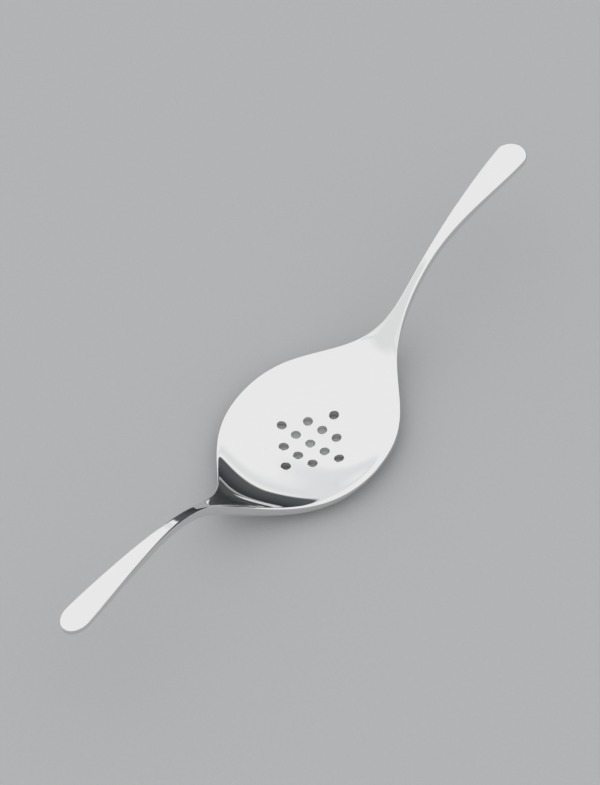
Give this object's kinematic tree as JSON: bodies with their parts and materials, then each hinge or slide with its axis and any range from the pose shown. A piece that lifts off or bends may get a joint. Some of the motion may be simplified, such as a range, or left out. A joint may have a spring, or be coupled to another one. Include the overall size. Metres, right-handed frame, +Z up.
{
  "type": "absinthe spoon",
  "caption": "Polished metal absinthe spoon: a wide dished bowl with drain holes, between two upswept handles that rest on a glass while water drips through the sugar.",
  "frame": {"origin": "on the table under the middle of the bowl, at the centre of the foot flat", "axes": "+X along the spoon towards the right handle, +Z up out of the bowl, +Y across the bowl"},
  "size_m": [0.18, 0.041, 0.0278],
  "materials": {
    "bowl_metal": "mirror polished",
    "handle_metal": "mirror polished"
  },
  "bodies": {
    "root": {"bowl": "bowl_metal", "left_handle": "handle_metal", "right_handle": "handle_metal"}
  },
  "joints": []
}
